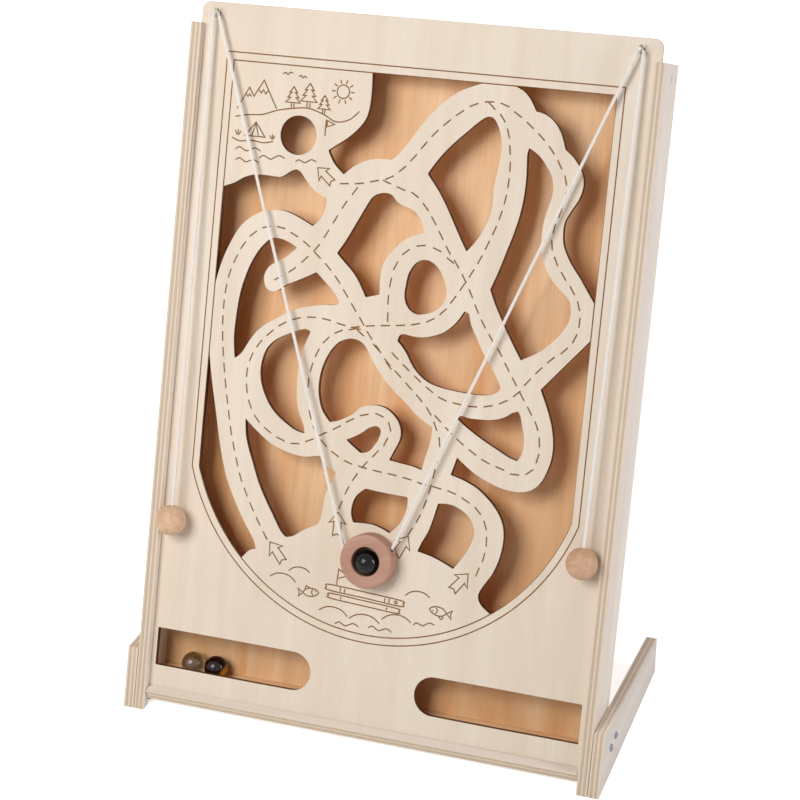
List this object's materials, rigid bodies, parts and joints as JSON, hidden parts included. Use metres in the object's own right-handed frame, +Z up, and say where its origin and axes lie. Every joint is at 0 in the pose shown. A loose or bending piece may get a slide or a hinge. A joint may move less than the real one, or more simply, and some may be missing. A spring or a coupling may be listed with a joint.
{
  "type": "string-lift marble maze board",
  "caption": "Leaning birch-ply maze board: a wooden ring on strings carries a marble up past cut-outs, with pull beads, feet and a marble tray behind windows.",
  "frame": {"origin": "the middle of the part's footprint, on the table: halfway between the feet across, and halfway between the side boards' lowest front edge and their highest back edge", "axes": "+X to the right as a player sees the board, +Y away from the player, +Z up. The maze panel leans back 27.5 degrees, so up along the panel is (0, 0.4617, 0.8870) and out of its front face is (0, -0.8870, 0.4617)"},
  "size_m": [0.3326, 0.2366, 0.4122],
  "materials": {
    "birch_ply_panel": "sanded birch plywood, laser engraved and cut",
    "birch_ply_boards": "sanded birch plywood",
    "birch_ply_back": "plain thin birch plywood",
    "beech_beads": "smooth satin beech",
    "beech_ring": "smooth satin beech",
    "steel_fasteners": "bright zinc-plated steel",
    "zinc_wire": "zinc-plated wire",
    "white_string": "white braided cotton string",
    "black_glass": "glossy opaque black glass",
    "clear_glass": "clear glass",
    "amber_glass": "dark amber glass"
  },
  "bodies": {
    "board": {"maze_panel": "birch_ply_panel", "back_panel": "birch_ply_back", "left_side_board": "birch_ply_boards", "right_side_board": "birch_ply_boards", "bottom_board": "birch_ply_boards", "top_board": "birch_ply_boards", "left_foot": "birch_ply_boards", "right_foot": "birch_ply_boards", "left_foot_front_screw": "steel_fasteners", "left_foot_back_screw": "steel_fasteners", "right_foot_front_screw": "steel_fasteners", "right_foot_back_screw": "steel_fasteners", "left_top_front_staple": "steel_fasteners", "left_top_back_staple": "steel_fasteners", "right_top_front_staple": "steel_fasteners", "right_top_back_staple": "steel_fasteners", "left_screw_eye": "zinc_wire", "right_screw_eye": "zinc_wire", "left_eye_string": "white_string", "right_eye_string": "white_string", "left_inner_string": "white_string", "right_inner_string": "white_string"},
    "ring": {"guide_ring": "beech_ring"},
    "carried_marble": {"ring_marble": "black_glass"},
    "left_line": {"left_outer_string": "white_string"},
    "right_line": {"right_outer_string": "white_string"},
    "left_bead": {"left_pull_bead": "beech_beads", "left_bead_knot": "white_string"},
    "right_bead": {"right_pull_bead": "beech_beads", "right_bead_knot": "white_string"},
    "clear_ball": {"clear_marble": "clear_glass"},
    "amber_ball": {"amber_marble": "amber_glass"}
  },
  "joints": [
    {"name": "carriage_lift", "type": "slide", "parent": "board", "child": "ring", "axis": [0, 0.4617, 0.887], "range_m": [0, 0.255], "deforming": ["left_inner_string", "right_inner_string"]},
    {"name": "ring_marble_out", "type": "slide", "parent": "ring", "child": "carried_marble", "axis": [0, -0.887, 0.4617], "range_m": [0, 0.03]},
    {"name": "left_line_swing", "type": "hinge", "parent": "board", "child": "left_line", "pos_m": [-0.1423, 0.09398, 0.40575], "axis": [-1, 0, 0], "range_deg": [0, 18.1]},
    {"name": "right_line_swing", "type": "hinge", "parent": "board", "child": "right_line", "pos_m": [0.1423, 0.09398, 0.40575], "axis": [-1, 0, 0], "range_deg": [0, 18.1]},
    {"name": "left_bead_pull", "type": "slide", "parent": "left_line", "child": "left_bead", "axis": [0.0086, -0.4771, -0.8788], "range_m": [0, 0.2094], "deforming": ["left_outer_string"]},
    {"name": "right_bead_pull", "type": "slide", "parent": "right_line", "child": "right_bead", "axis": [-0.009, -0.4779, -0.8784], "range_m": [0, 0.2047], "deforming": ["right_outer_string"]},
    {"name": "clear_marble_roll", "type": "slide", "parent": "board", "child": "clear_ball", "axis": [1, 0, 0], "range_m": [-0.0165, 0]},
    {"name": "amber_marble_roll", "type": "slide", "parent": "board", "child": "amber_ball", "axis": [1, 0, 0], "range_m": [0, 0.249]}
  ],
  "couplings": [
    {"joint": "left_line_swing", "follows": "carriage_lift", "rad_per_m": 1.232},
    {"joint": "right_line_swing", "follows": "carriage_lift", "rad_per_m": 1.232},
    {"joint": "left_bead_pull", "follows": "carriage_lift", "ratio": 0.8207},
    {"joint": "right_bead_pull", "follows": "carriage_lift", "ratio": 0.8021}
  ]
}
